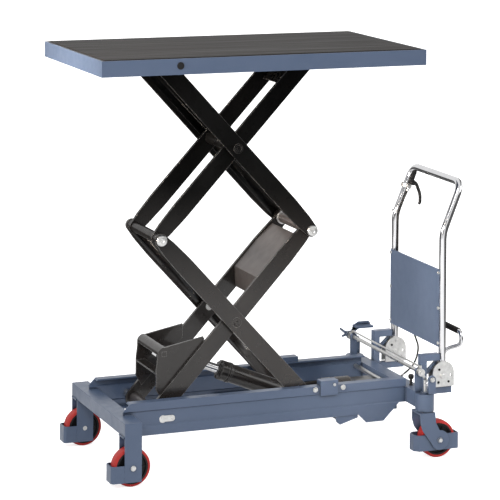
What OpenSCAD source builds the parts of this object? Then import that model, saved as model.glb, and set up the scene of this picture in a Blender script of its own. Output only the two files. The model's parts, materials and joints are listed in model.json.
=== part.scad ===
// Mobile double scissor lift table: foot-pumped, with fixed wheels at one end
// and braked casters plus a push handle at the other.
// Axes: +Z up with the floor at zero, X along the deck with the handle at +X,
// Y across with zero on the centre plane. All lengths in millimetres.

/* [Deck] */
// length of the deck along X
deck_l = 910; // [900:5:920]
// width of the deck across Y
deck_w = 500; // [496:2:510]
// depth of the folded edge round the deck
deck_edge = 43; // [40:1:46]
// thickness of the deck's sheet metal
deck_skin = 3; // [2:0.5:3]
// thickness of the rubber mat
mat_t = 3; // [2:0.5:4]

/* [Scissor] */
// distance between the end pins of every arm
arm_len = 628; // [620:2:636]
// slope of the arms as drawn
arm_angle = 47.1; // [44:0.5:50]
// width of the flat bars
arm_w = 48; // [44:1:50]
// thickness of the flat bars
arm_t = 8; // [6:1:9]
// outside face of the outer pair, from the centre plane
outer_y = 122; // [121:1:123]
// outside face of the inner pair, from the centre plane
inner_y = 92; // [88:1:94]
// diameter of the scissor pins
pin_d = 20; // [18:1:22]

/* [Base frame] */
// outside face of the rails, from the centre plane
rail_y = 148; // [147:1:152]
// underside of the rails above the floor
rail_z0 = 108; // [106:1:110]
// height of the rails
rail_h = 86; // [84:1:90]
// sheet thickness of the rails and plates
sheet_t = 4; // [3:0.5:4]
// outside face of the fixed wheel forks, from the centre plane
fork_y = 226; // [224:1:230]

/* [Wheels] */
// diameter of all four wheels
wheel_d = 100; // [98:1:102]
// width of the tread
wheel_w = 32; // [28:1:34]
// diameter of the black hub inside the tread
hub_d = 82; // [78:1:86]
// distance of the caster swivel axes from the centre plane
caster_y = 229; // [229:1:233]
// trail of the caster wheels behind their swivel axes
trail = 33; // [30:1:36]

/* [Handle] */
// centre distance of the handle's two uprights
handle_w = 304; // [300:2:308]
// outside diameter of the handle tube
tube_d = 20; // [18:1:22]
// height of the bend in the uprights
bend_z = 582; // [570:2:590]
// height of the top bar's centre line
handle_z = 716; // [700:2:730]

/* [Hydraulics] */
// outside diameter of the cylinder barrel
barrel_d = 50; // [46:1:54]
// diameter of the chrome rod
rod_d = 24; // [20:1:26]

/* [Hidden] */
$fn = 96;
run = 0.05;          // radial clearance of every running fit
gap = 0.6;           // side gap between faces that turn past each other

deck_x = -110;
deck_x0 = deck_x - deck_l / 2;
deck_x1 = deck_x + deck_l / 2;
pivot_x = -356;
pivot_z = 146;
arm_dx = arm_len * cos(arm_angle);
arm_dz = arm_len * sin(arm_angle);
far_x = pivot_x + arm_dx;
mid_x = pivot_x + arm_dx / 2;
z_low = pivot_z;
z_cl = pivot_z + arm_dz / 2;
z_mid = pivot_z + arm_dz;
z_cu = pivot_z + 1.5 * arm_dz;
z_top = pivot_z + 2 * arm_dz;
deck_z = z_top + 31;
tip_r = 17;

rail_z1 = rail_z0 + rail_h;
rail_x0 = -465;
rail_x1 = 341;
band_low = 23;
band_top = 21;
step = 3;
lip = 25;
web_in = rail_y - step - sheet_t;
beam_x0 = -487;
beam_x1 = -441;
beam_z0 = 129;
beam_z1 = 165;
fork_in = 178;
wheel_r = wheel_d / 2;
axle_x = -464;
axle_d = 12;
rear_x0 = 341;
rear_x1 = 379;
rear_z0 = 131;
rear_z1 = 172;
swivel_x = 358.5;
swivel_z0 = 126;
housing_d = 50;
stem_d = 24;
plunger_d = 9;
cast_x = swivel_x + trail;
roller_d = 50;
roller_w = 13;
stub_d = 14;
brake_x = 347;
brake_z = 228;
lug_z = 222;

hinge_x = 441;
hinge_z = 196;
tube_x = 447;
tube_y = handle_w / 2;
tube_z0 = 207;
top_x = 502;
bend_r = 30;
lean = atan2(top_x - tube_x, handle_z - bend_z);
lean_len = norm([top_x - tube_x, handle_z - bend_z]);

anchor_x = 105;
anchor_z = 125;
eye_x = -332;
eye_z = 299;
rod_ang = atan2(eye_z - anchor_z, anchor_x - eye_x);
rod_len = sqrt(pow(eye_z - anchor_z, 2) + pow(anchor_x - eye_x, 2));
gland_at = 268;
thrust_d = 12;

lever_x = 285;
lever_z = 104;
lever_pin = 12;
sleeve_x = 551;
sleeve_z = 284;
plunger_x = 262;

paint = [0.38, 0.45, 0.53];
black = [0.09, 0.085, 0.08];
zinc = [0.80, 0.81, 0.80];
chrome = [0.86, 0.86, 0.88];
red = [0.76, 0.18, 0.17];
rubber = [0.10, 0.09, 0.085];
plastic = [0.06, 0.06, 0.065];

// ---------- helpers ----------
// solid round along Y between two Y values
module rod_y(x, z, d, y0, y1) {
  translate([x, y0, z])
    rotate([-90, 0, 0])
      cylinder(d = d, h = y1 - y0);
}

// round along Y with a bore
module ring_y(x, z, d, bore, y0, y1) {
  difference() {
    rod_y(x, z, d, y0, y1);
    rod_y(x, z, bore, y0 - 1, y1 + 1);
  }
}

// flat plate drawn in the XZ plane, between two Y values
module plate_y(points, y0, y1) {
  translate([0, y1, 0])
    rotate([90, 0, 0])
      linear_extrude(height = y1 - y0)
        polygon(points);
}

// plain box from two corners
module box(a, b) {
  translate(a)
    cube([b[0] - a[0], b[1] - a[1], b[2] - a[2]]);
}

// straight round bar between two points
module strut(a, b, d) {
  v = b - a;
  len = norm(v);
  translate(a)
    rotate([0, acos(v[2] / len), atan2(v[1], v[0])])
      cylinder(d = d, h = len);
}

// round bar through a list of points, with a slightly larger ball at each turn
module bent_bar(p, d) {
  for (i = [0 : len(p) - 2])
    strut(p[i], p[i + 1], d);
  for (i = [1 : len(p) - 2])
    translate(p[i])
      sphere(d = d + 0.8);
}

// both sides of the centre plane
module both() {
  children();
  mirror([0, 1, 0]) children();
}

// flat arm in the XZ plane from a to b; ends round, narrowed at the tip end
module arm(a, b, y0, y1, bore_a, bore_b, bore_c) {
  v = b - a;
  len = norm(v);
  ang = atan2(v[1], v[0]);
  half = arm_w / 2;
  difference() {
    translate([a[0], 0, a[1]])
      rotate([0, -ang, 0])
        union() {
          plate_y([[0, -half], [len - 92, -half], [len - 30, -half + 3], [len, -tip_r],
                   [len, tip_r], [len - 30, half - 3], [len - 92, half], [0, half]], y0, y1);
          rod_y(0, 0, arm_w, y0, y1);
          rod_y(len, 0, 2 * tip_r, y0, y1);
        }
    rod_y(a[0], a[1], bore_a, y0 - 1, y1 + 1);
    rod_y(b[0], b[1], bore_b, y0 - 1, y1 + 1);
    rod_y((a[0] + b[0]) / 2, (a[1] + b[1]) / 2, bore_c, y0 - 1, y1 + 1);
  }
}

// box section between two arm-local stations, on the slope of an arm
module on_slope(a, ang) {
  translate([a[0], 0, a[1]])
    rotate([0, -ang, 0])
      children();
}

module base_rails() {
  t = sheet_t;
  zl = rail_z0 + band_low;
  zu = rail_z1 - band_top;
  y = rail_y;
  color(paint)
    both() {
      difference() {
        translate([rail_x0, 0, 0])
          rotate([90, 0, 90])
            linear_extrude(height = rail_x1 - rail_x0)
              polygon([[y - lip, rail_z0], [y, rail_z0], [y, zl], [y - step, zl + step],
                       [y - step, zu - step], [y, zu], [y, rail_z1], [y - lip, rail_z1],
                       [y - lip, rail_z1 - t], [y - t, rail_z1 - t], [y - t, zu + 1],
                       [y - t - step, zu - step + 1], [y - t - step, zl + step - 1],
                       [y - t, zl - 1], [y - t, rail_z0 + t], [y - lip, rail_z0 + t]]);
        plate_y([[rail_x0 - 1, rail_z1 - 20], [rail_x0 + 20, rail_z1 + 1], [rail_x0 - 1, rail_z1 + 1]],
                rail_y - 40, rail_y + 1);
        box([rail_x0 - 1, rail_y - 40, rail_z0 - 1], [beam_x1, rail_y + 1, beam_z1]);
        plate_y([[298, rail_z0 - 1], [321, rear_z0], [rail_x1 + 1, rear_z0], [rail_x1 + 1, rail_z0 - 1]],
                rail_y - 40, rail_y + 1);
        rod_y(pivot_x, pivot_z, pin_d, web_in - 1, rail_y + 1);
      }
      plate_y([[201, rail_z0], [224, 85], [275, 85], [298, rail_z0]], rail_y - t, rail_y);
      box([-105, y - lip, rail_z0 + t], [318, web_in, pivot_z - roller_d / 2 - 0.1]);
    }
}

module cross_bars() {
  z0 = rail_z0 - 8;
  z1 = anchor_z - 15.5;
  color(paint) {
    box([anchor_x - 22, -rail_y + lip, z1 - 8], [anchor_x + 22, rail_y - lip, z1]);
    both()
      difference() {
        union() {
          box([anchor_x - 16, 16, z1], [anchor_x + 16, 24, anchor_z]);
          rod_y(anchor_x, anchor_z, 32, 16, 24);
        }
        rod_y(anchor_x, anchor_z, pin_d, 15, 25);
      }
  }
  color(black) {
    box([136, -rail_y + 2, z0], [200, rail_y - 2, rail_z0]);
    both()
      plate_y([[136, z0], [139, 92], [148, 85], [200, 100], [200, z0]], rail_y - 8, rail_y - 2);
  }
}

module front_beam() {
  t = sheet_t;
  y = fork_y - sheet_t;
  color(paint)
    difference() {
      box([beam_x0, -y, beam_z0], [beam_x1, y, beam_z1]);
      box([beam_x0 + t, -y - 1, beam_z0 + t], [beam_x1 - t, y + 1, beam_z1 - t]);
    }
}

module rear_beam() {
  t = sheet_t;
  y = caster_y;
  color(paint)
    difference() {
      box([rear_x0, -y, rear_z0], [rear_x1, y, rear_z1]);
      box([rear_x0 + t, -y - 1, rear_z0 + t], [rear_x1 - t, y + 1, rear_z1 - t]);
      both()
        translate([swivel_x, caster_y, rear_z0 - 1])
          cylinder(d = housing_d, h = 60);
      both()
        box([rear_x0 - 1, caster_y - 2, rear_z0 - 1], [rear_x1 + 1, caster_y + 2, rear_z1 + 1]);
    }
}

module wheel_forks() {
  t = sheet_t;
  color(paint)
    both()
      difference() {
        union() {
          box([beam_x0, fork_y - t, 14], [beam_x1, fork_y, beam_z1]);
          box([beam_x0, fork_in, 14], [beam_x1, fork_in + t, beam_z0]);
        }
        rod_y(axle_x, wheel_r, axle_d, fork_in - 1, fork_y + 1);
      }
}

module foot_guards() {
  t = sheet_t;
  x0 = -523;
  z0 = 14;
  z1 = 58;
  c = 6;
  color(paint)
    both()
      difference() {
        translate([0, 0, z0])
          linear_extrude(height = z1 - z0)
            polygon([[beam_x0, fork_in], [x0 + c, fork_in], [x0, fork_in + c], [x0, fork_y - c],
                     [x0 + c, fork_y], [beam_x0, fork_y]]);
        translate([0, 0, z0 - 1])
          linear_extrude(height = z1 - z0 + 2)
            polygon([[beam_x0 + 1, fork_in + t], [x0 + c + t, fork_in + t], [x0 + t, fork_in + c + 1],
                     [x0 + t, fork_y - c - 1], [x0 + c + t, fork_y - t], [beam_x0 + 1, fork_y - t]]);
      }
}

module caster_housings() {
  color(paint)
    both()
      difference() {
        union() {
          translate([swivel_x, caster_y, swivel_z0])
            cylinder(d = housing_d, h = rear_z1 - swivel_z0);
          box([swivel_x + 2, caster_y + 14, rear_z1], [swivel_x + 23, caster_y + 20, lug_z - 11]);
          rod_y(swivel_x + 12.5, lug_z - 11, 21, caster_y + 14, caster_y + 20);
          box([brake_x - 10, caster_y - 20, rear_z1], [brake_x + 10, caster_y - 14, brake_z]);
          rod_y(brake_x, brake_z, 20, caster_y - 20, caster_y - 14);
        }
        translate([swivel_x, caster_y, swivel_z0 - 1])
          cylinder(r = stem_d / 2 + run, h = rear_z1 - swivel_z0 + 2);
        rod_y(swivel_x + 12.5, lug_z - 11, 8, caster_y + 13, caster_y + 21);
        rod_y(brake_x, brake_z, 10 + 2 * run, caster_y - 21, caster_y - 13);
      }
}

module handle_brackets() {
  y0 = tube_y - 10;
  y1 = tube_y + 10;
  color(paint)
    both()
      difference() {
        union() {
          box([rear_x1, y0, 148], [472, y1, 166]);
          box([rear_x1, y0, 166], [rear_x1 + 18, y1, 256]);
          box([rear_x1 + 18, y0, 238], [436, y1, 256]);
          plate_y([[436, 238], [426, 238], [rear_x1 + 18, 212], [rear_x1 + 18, 202], [404, 202]],
                  tube_y - 3, tube_y + 3);
          box([432, tube_y - 4, 166], [450, tube_y + 4, hinge_z]);
          rod_y(hinge_x, hinge_z, 18, tube_y - 4, tube_y + 4);
        }
        rod_y(hinge_x, hinge_z, 10, tube_y - 5, tube_y + 5);
      }
}

module rail_covers() {
  y = rail_y;
  color(paint)
    both()
      difference() {
        box([88, y - lip + 1, 168], [139, y + 4, 208]);
        box([87, y - lip, 167], [140, y, rail_z1]);
        box([92, y - lip + 5, rail_z1 - 1], [135, y, 204]);
      }
}

module frame_bolts() {
  color(zinc)
    both() {
      for (x = [74, 155])
        rod_y(x, 186, 9, rail_y, rail_y + 5);
      rod_y(128, 196, 7, rail_y + 4, rail_y + 8);
      rod_y(swivel_x + 12.5, lug_z - 11, 8, caster_y + 6, caster_y + 24);
      translate([axle_x, 0, wheel_r])
        rotate([-90, 0, 0])
          translate([0, 0, fork_y])
            cylinder(d = 13, h = 4);
    }
}

module name_badge() {
  y = rail_y - step;
  color(zinc)
    difference() {
      union() {
        box([-354, -y - 1, 139], [-329, -y, 155]);
        rod_y(-354, 147, 16, -y - 1, -y);
        rod_y(-329, 147, 16, -y - 1, -y);
      }
      rod_y(-352, 147, 4, -y - 2, -y + 1);
      rod_y(-331, 147, 4, -y - 2, -y + 1);
    }
}

module pivot_shaft() {
  color(zinc)
    rod_y(pivot_x, pivot_z, pin_d, -rail_y + step, rail_y - step);
}

module frame_shaft() {
  color(zinc)
    rod_y(322, 163, 12, -web_in, web_in);
}

module frame_pins() {
  color(zinc) {
    rod_y(anchor_x, anchor_z, pin_d, -24, 24);
    rod_y(lever_x, lever_z, lever_pin, -34, 34);
    both()
      rod_y(hinge_x, hinge_z, 10, tube_y - 18, tube_y + 18);
  }
}

module fixed_axles() {
  color(zinc)
    both()
      rod_y(axle_x, wheel_r, axle_d, fork_in, fork_y);
}

module pump_body() {
  color(black)
    difference() {
      union() {
        box([236, -34, 118], [310, 34, 162]);
        box([150, -60, rail_z0], [236, 60, 120]);
        box([272, -34, lever_z - 12], [298, -26, 118]);
        box([272, 26, lever_z - 12], [298, 34, 118]);
        box([300, -34, rear_z0 + 4], [rear_x0, 34, 152]);
        translate([156, 0, 147])
          rotate([0, 90, 0])
            cylinder(d = 56, h = 80);
      }
      translate([plunger_x, 0, 100])
        cylinder(r = 9 + run, h = 50);
      rod_y(lever_x, lever_z, lever_pin, -40, 40);
    }
}

module valve_knob() {
  color(plastic) {
    translate([360, -140, rear_z1])
      cylinder(d = 7, h = 18);
    translate([360, -140, rear_z1 + 22])
      sphere(d = 16);
  }
}

module hydraulic_hose() {
  color(plastic)
    bent_bar([[200, 52, 121.5], [192, 56, 150], [50, 46, 147]], 10);
}

// ---------- scissor ----------
module lower_inner_arms() {
  color(black)
    both()
      arm([pivot_x, z_low], [far_x, z_mid], inner_y - arm_t, inner_y,
          pin_d + 2 * run, pin_d + 2 * run, pin_d + 2 * run);
}

module lower_inner_web() {
  y = inner_y - arm_t;
  color(black)
    on_slope([pivot_x, z_low], arm_angle) {
      plate_y([[402, -20], [441, 20], [540, 20], [597, 14], [596.6, 10], [540, 16], [442.7, 16],
               [404.9, -22.8]], -y, y);
      ring_y(arm_len, 0, 28, pin_d + 2 * run, -y, y);
      ring_y(0, 0, 30, pin_d + 2 * run, -y, y);
    }
}

module thrust_bracket() {
  y1 = inner_y - arm_t - gap;
  y0 = y1 - 6;
  r = 18;
  color(black) {
    both()
      difference() {
        union() {
          plate_y([[eye_x - r, eye_z], [eye_x - 4, eye_z + r - 1], [eye_x + 6, eye_z + r], [-222, 337],
                   [-222, 300], [pivot_x + 18, z_low + 34], [pivot_x + 2, z_low + 62],
                   [eye_x - r - 4, z_low + 108], [eye_x - r, eye_z - 12]], y0, y1);
          rod_y(eye_x, eye_z, 2 * r, y0, y1);
        }
        rod_y(eye_x, eye_z, thrust_d, y0 - 1, y1 + 1);
      }
    difference() {
      ring_y(eye_x, eye_z, 2 * r, 2 * r - 6, -y0, y0);
      box([eye_x + 2, -y1, eye_z - 40], [eye_x + 40, y1, eye_z + 40]);
      box([eye_x - 40, -y1, eye_z - 40], [eye_x + 40, y1, eye_z - 2]);
    }
    box([eye_x - r - 4, -y0, z_low + 100], [eye_x - r + 22, y0, z_low + 104]);
  }
}

module thrust_pin() {
  y1 = inner_y - arm_t - gap;
  color(zinc)
    rod_y(eye_x, eye_z, thrust_d, -y1, y1);
}

module lower_outer_arms() {
  color(black)
    both() {
      arm([far_x, z_low], [pivot_x, z_mid], outer_y - arm_t, outer_y, stub_d, pin_d, pin_d);
      ring_y(pivot_x, z_mid, 30, pin_d, inner_y + gap, outer_y - arm_t);
      ring_y(mid_x, z_cl, 30, pin_d, inner_y + gap, outer_y - arm_t);
    }
}

module lower_pins() {
  color(zinc) {
    rod_y(pivot_x, z_mid, pin_d, -outer_y, outer_y);
    both() {
      rod_y(pivot_x, z_mid, 26, outer_y, outer_y + 7);
      rod_y(mid_x, z_cl, pin_d, inner_y - arm_t, outer_y);
      rod_y(far_x, z_low, stub_d, outer_y - arm_t, outer_y + gap + roller_w);
    }
  }
}

module upper_outer_arms() {
  color(black)
    both() {
      arm([pivot_x, z_top], [far_x, z_mid], outer_y - arm_t, outer_y, pin_d + 2 * run, pin_d, pin_d);
      ring_y(far_x, z_mid, 30, pin_d, inner_y + gap, outer_y - arm_t);
      ring_y(mid_x, z_cu, 30, pin_d, inner_y + gap, outer_y - arm_t);
    }
}

module upper_pins() {
  color(zinc) {
    rod_y(far_x, z_mid, pin_d, -outer_y, outer_y);
    both() {
      rod_y(far_x, z_mid, 26, outer_y, outer_y + 7);
      rod_y(mid_x, z_cu, pin_d, inner_y - arm_t, outer_y);
    }
  }
}

module upper_inner_arms() {
  color(black)
    both()
      arm([far_x, z_top], [pivot_x, z_mid], inner_y - arm_t, inner_y,
          stub_d, pin_d + 2 * run, pin_d + 2 * run);
}

module upper_inner_web() {
  y = inner_y - arm_t;
  color(black)
    on_slope([far_x, z_top], 180 + arm_angle) {
      box([44, -y, 4], [96, y, 8]);
      ring_y(arm_len / 2, 0, 32, pin_d + 2 * run, -y, y);
      ring_y(arm_len, 0, 28, pin_d + 2 * run, -y, y);
    }
}

module upper_stubs() {
  color(zinc)
    both()
      rod_y(far_x, z_top, stub_d, inner_y - arm_t, inner_y + gap + roller_w);
}

// roller on an arm's stub, between y0 and y0 + roller_w
module roller(d, y0, z) {
  ring_y(far_x, z, d, stub_d + 2 * run, y0, y0 + roller_w);
}

module lower_rollers() {
  color(zinc)
    both()
      roller(roller_d, outer_y + gap, z_low);
}

module upper_rollers() {
  color(zinc)
    both()
      roller(38, inner_y + gap, z_top);
}

// ---------- deck ----------
module deck_tray() {
  t = deck_skin;
  z1 = deck_z - mat_t + 1;
  z0 = deck_z - deck_edge;
  y = deck_w / 2;
  color(paint)
    difference() {
      box([deck_x0, -y, z0], [deck_x1, y, z1]);
      box([deck_x0 + t, -y + t, z0 - 1], [deck_x1 - t, y - t, z1 - 1 - t]);
      box([deck_x0 + 5, -y + 5, z1 - 1], [deck_x1 - 5, y - 5, z1 + 1]);
      both()
        rod_y(pivot_x + 3, deck_z - 20, 16, y - t - 1, y + 1);
    }
}

module deck_mat() {
  z1 = deck_z - mat_t + 1;
  color(rubber)
    box([deck_x0 + 5.5, -deck_w / 2 + 5.5, z1 - 1], [deck_x1 - 5.5, deck_w / 2 - 5.5, deck_z]);
}

module deck_channels() {
  z1 = deck_z - mat_t - deck_skin;
  y0 = inner_y + gap + roller_w + 2;
  zr = z_top - 19.1;
  color(paint)
    both() {
      box([-120, y0, zr - sheet_t], [310, y0 + sheet_t, z1]);
      box([-120, inner_y + 3, zr - sheet_t], [310, y0, zr]);
      difference() {
        box([pivot_x - 30, outer_y + 3, z_top - 12], [pivot_x + 30, outer_y + 11, z1]);
        rod_y(pivot_x, z_top, pin_d, outer_y, outer_y + 12);
      }
    }
}

module deck_pivot_shaft() {
  color(zinc)
    rod_y(pivot_x, z_top, pin_d, -outer_y - 11, outer_y + 11);
}

module deck_plugs() {
  y = deck_w / 2;
  color(plastic)
    both() {
      rod_y(pivot_x + 3, deck_z - 20, 16, y - deck_skin, y);
      rod_y(pivot_x + 3, deck_z - 20, 19, y, y + 1.5);
    }
}

// ---------- hydraulics ----------
module on_rod() {
  translate([anchor_x, 0, anchor_z])
    rotate([0, rod_ang - 180, 0])
      children();
}

module cylinder_barrel() {
  color(black)
    on_rod()
      difference() {
        union() {
          translate([20, 0, 0])
            rotate([0, 90, 0])
              cylinder(d = barrel_d, h = gland_at - 40);
          rod_y(0, 0, 30, -15, 15);
          box([0, -15, -14], [24, 15, 14]);
          rod_y(60, 0, 14, 20, 36);
        }
        rod_y(0, 0, pin_d + 2 * run, -20, 20);
        translate([34, 0, 0])
          rotate([0, 90, 0])
            cylinder(d = barrel_d - 10, h = gland_at);
      }
}

module cylinder_gland() {
  color(black)
    on_rod()
      translate([gland_at - 32, 0, 0])
        rotate([0, 90, 0])
          difference() {
            union() {
              cylinder(d = barrel_d - 10, h = 20);
              translate([0, 0, 12])
                cylinder(d = barrel_d + 3, h = 20);
            }
            translate([0, 0, -1])
              cylinder(r = rod_d / 2 + run, h = 40);
          }
}

module cylinder_rod() {
  piston_at = 142;
  pad_at = rod_len - 8;
  color(chrome)
    on_rod() {
      translate([piston_at, 0, 0])
        rotate([0, 90, 0])
          cylinder(d = rod_d, h = pad_at - 4 - piston_at);
      translate([piston_at, 0, 0])
        rotate([0, 90, 0])
          cylinder(d = barrel_d - 10 - 2 * run, h = 16);
      box([pad_at - 8, -16, -13], [pad_at, 16, 20]);
    }
}

// ---------- wheels ----------
module wheel(x, y) {
  w = wheel_w / 2;
  color(red)
    ring_y(x, wheel_r, wheel_d, hub_d, y - w, y + w);
  color(plastic)
    difference() {
      rod_y(x, wheel_r, hub_d, y - w, y + w);
      for (s = [-1, 1])
        ring_y(x, wheel_r, hub_d - 10, 34, y + s * w - 5, y + s * w + 5);
      rod_y(x, wheel_r, axle_d + 2 * run, y - w - 1, y + w + 1);
    }
  color(zinc)
    for (s = [-1, 1])
      ring_y(x, wheel_r, 22, axle_d + 2 * run, y + s * (w + 1.5) - 1.5, y + s * (w + 1.5) + 1.5);
}

module fixed_wheel_left() {
  wheel(axle_x, -(fork_y + fork_in) / 2);
}

module fixed_wheel_right() {
  wheel(axle_x, (fork_y + fork_in) / 2);
}

module caster_fork(y) {
  t = sheet_t;
  s = 28;
  g = s - t;
  zt = swivel_z0 - 1;
  x0 = 320;
  x1 = 449;
  difference() {
    union() {
      for (k = [-1, 1]) {
        plate_y([[swivel_x - 25, zt], [swivel_x - 25, 100], [340, 79], [cast_x - 26, 44], [cast_x - 10, 25],
                 [cast_x + 14, 27], [cast_x + 23, 46], [394, 69], [379, 97], [swivel_x + 18, zt]],
                y + k * (s - t / 2) - t / 2, y + k * (s - t / 2) + t / 2);
        rod_y(cast_x, wheel_r, 52, y + k * (s - t / 2) - t / 2, y + k * (s - t / 2) + t / 2);
      }
      box([swivel_x - 25, y - s, zt - 5], [swivel_x + 18, y + s, zt]);
      translate([swivel_x, y, zt - 5])
        cylinder(d = stem_d, h = rear_z1 - zt + 9);
      difference() {
        translate([0, 0, 23])
          linear_extrude(height = 42)
            polygon([[x0 + 12, y - g], [x0, y - g + 12], [x0, y + g - 12], [x0 + 12, y + g],
                     [x1 - 4, y + g], [x1, y + g - 4], [x1, y - g + 4], [x1 - 4, y - g]]);
        translate([0, 0, 22])
          linear_extrude(height = 44)
            polygon([[x0 + 12 + t, y - g + t], [x0 + t, y - g + 13], [x0 + t, y + g - 13], [x0 + 12 + t, y + g - t],
                     [x1 - t - 2, y + g - t], [x1 - t, y + g - t - 2], [x1 - t, y - g + t + 2],
                     [x1 - t - 2, y - g + t]]);
      }
    }
    rod_y(cast_x, wheel_r, axle_d, y - s - 1, y + s + 1);
    translate([swivel_x, y, zt - 10])
      cylinder(r = plunger_d / 2 + run, h = 80);
  }
}

module caster_set(y) {
  color(paint)
    caster_fork(y);
  color(zinc) {
    rod_y(cast_x, wheel_r, axle_d, y - 28, y + 28);
    rod_y(cast_x, wheel_r, 13, y - 32, y - 28);
    rod_y(cast_x, wheel_r, 13, y + 28, y + 32);
  }
}

module caster_fork_left() {
  caster_set(-caster_y);
}

module caster_fork_right() {
  caster_set(caster_y);
}

module caster_wheel_left() {
  wheel(cast_x, -caster_y);
}

module caster_wheel_right() {
  wheel(cast_x, caster_y);
}

// everything of the handle's tube in the plane that leans with its top
module leaning() {
  translate([tube_x, 0, bend_z])
    rotate([0, lean, 0])
      children();
}

// point on the leaning part of the handle, l up the slope from its bend
function lean_at(y, l) = [tube_x + l * sin(lean), y, bend_z + l * cos(lean)];

module handle_tube() {
  k = bend_r * 0.3;
  color(chrome)
    bent_bar([[tube_x, -tube_y, tube_z0], lean_at(-tube_y, 0), lean_at(-tube_y, lean_len - bend_r),
              lean_at(-tube_y + k, lean_len - k), lean_at(-tube_y + bend_r, lean_len),
              lean_at(tube_y - bend_r, lean_len), lean_at(tube_y - k, lean_len - k),
              lean_at(tube_y, lean_len - bend_r), lean_at(tube_y, 0),
              [tube_x, tube_y, tube_z0]], tube_d);
}

module handle_hinge_plates() {
  y0 = 10 + gap;
  y1 = y0 + 4;
  top_r = 32;
  top_z = 204;
  color(zinc)
    both()
      difference() {
        union() {
          for (side = [[-y1, -y0], [y0, y1]]) {
            box([tube_x - top_r - 2, tube_y + side[0], 167], [tube_x + top_r - 2, tube_y + side[1], top_z]);
            rod_y(tube_x - 2, top_z, 2 * top_r, tube_y + side[0], tube_y + side[1]);
          }
          box([tube_x - 12, tube_y - y0, 214], [tube_x + 12, tube_y + y0, 232]);
        }
        translate([tube_x, tube_y, 200])
          cylinder(d = tube_d, h = 60);
        rod_y(hinge_x, hinge_z, 10 + 2 * run, tube_y - y1 - 1, tube_y + y1 + 1);
        rod_y(467, 197, 7, tube_y - y1 - 1, tube_y + y1 + 1);
        rod_y(430, 179, 8, tube_y - y1 - 1, tube_y + y1 + 1);
      }
}

module handle_panel() {
  x1 = tube_x - tube_d / 2;
  color(paint)
    difference() {
      box([x1 - 3, -tube_y - 2, 273], [x1, tube_y + 2, 484]);
      for (z = [283, 378, 474])
        for (s = [-1, 1])
          translate([x1 - 4, s * tube_y, z])
            rotate([0, 90, 0])
              cylinder(d = 5, h = 5);
    }
}

module panel_screws() {
  x1 = tube_x - tube_d / 2;
  color(zinc)
    for (z = [283, 378, 474])
      for (s = [-1, 1])
        translate([x1 - 5, s * tube_y, z])
          rotate([0, 90, 0]) {
            cylinder(d = 9, h = 2);
            cylinder(d = 5, h = 5);
          }
}

module lever_clamp() {
  y = tube_y;
  color(plastic)
    leaning() {
      translate([0, y, 80])
        difference() {
          cylinder(d = 30, h = 12);
          translate([0, 0, -1])
            cylinder(d = tube_d + 2 * run, h = 14);
        }
      box([-6, y - 26, 84], [6, y - 13, 92]);
      box([-6, y - 26, 92], [6, y - 15, 122]);
      box([-6, y - 32, 116], [6, y - 20, 128]);
      rod_y(0, 100, 8, y - 38, y - 20);
    }
}

module release_cable() {
  cable_d = 5;
  y = tube_y - tube_d / 2 - cable_d / 2 - gap;
  color(plastic)
    bent_bar([[477, y - 8, 656], [449, y, 590], [447, y, 440], [455, 41, 267], [455, 14, 239],
              [450, 14, 206], [425, -10, 188], [374, -52, rear_z1 + 3]], cable_d);
}

module release_lever() {
  y = tube_y - 32;
  color(plastic)
    leaning()
      difference() {
        union() {
          rod_y(0, 100, 16, y - 5, y + 5);
          plate_y([[-2, 106], [9, 106], [28, 84], [46, 57], [39, 52], [20, 74], [2, 92]], y - 4, y + 4);
        }
        rod_y(0, 100, 8 + 2 * run, y - 6, y + 6);
      }
}

module pedal_lever() {
  color(chrome)
    difference() {
      union() {
        rod_y(lever_x, lever_z, 22, -25, 25);
        bent_bar([[lever_x, 0, lever_z], [400, 0, 102], [470, 0, 118], [506, 0, 180], [524, -16, 230],
                  [544, -48, 246], [sleeve_x - 1, -60, 262], [sleeve_x, -56, sleeve_z],
                  [sleeve_x, 46, sleeve_z]], 12);
        strut([lever_x, 0, lever_z - 6], [plunger_x, 0, lever_z - 10], 8);
        rod_y(plunger_x, lever_z - 10, 10, -6, 6);
      }
      rod_y(lever_x, lever_z, lever_pin + 2 * run, -30, 30);
    }
}

module pedal_sleeve() {
  color(rubber)
    ring_y(sleeve_x, sleeve_z, 17, 12 + 4 * run, -44, 46);
}

module pump_plunger() {
  color(chrome)
    translate([plunger_x, 0, lever_z - 2.95])
      cylinder(d = 18, h = 36);
}

module brake_shaft() {
  y = caster_y;
  color(zinc) {
    rod_y(brake_x, brake_z, 10, -y - 10, y + 10);
    both() {
      rod_y(brake_x, brake_z, 18, y - 12, y - 8);
      rod_y(brake_x, brake_z, 20, y - 4, y + 4);
      strut([brake_x, y, brake_z], [swivel_x, y, brake_z - 16], 8);
      rod_y(swivel_x, brake_z - 16, 8, y - 4, y + 4);
    }
    rod_y(brake_x + 2, brake_z + 13.5, 5, -y + 8, y - 8);
    both()
      box([brake_x - 4, y - 12, brake_z], [brake_x + 6, y - 8, brake_z + 16]);
  }
}

module brake_pedal() {
  y0 = caster_y - 3;
  y1 = caster_y + 9;
  color(plastic)
    difference() {
      union() {
        rod_y(brake_x, brake_z, 24, y0 + 8, y1);
        plate_y([[brake_x, brake_z + 6], [brake_x + 10, brake_z + 4], [380, 249], [409, 249], [409, 258],
                 [404, 264], [372, 264], [358, 256]], y0 + 8, y1);
        box([358, y0 - 14, 249], [409, y1 + 8, 255]);
        plate_y([[brake_x, brake_z + 10], [332, 240], [316, 251], [314, 246], [328, 234], [329, 231],
                 [321, 229], [322, 223], [334, 226], [brake_x, brake_z - 10]], y0 + 8, y1);
      }
      rod_y(brake_x, brake_z, 10, y0 - 20, y1 + 20);
    }
}

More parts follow.
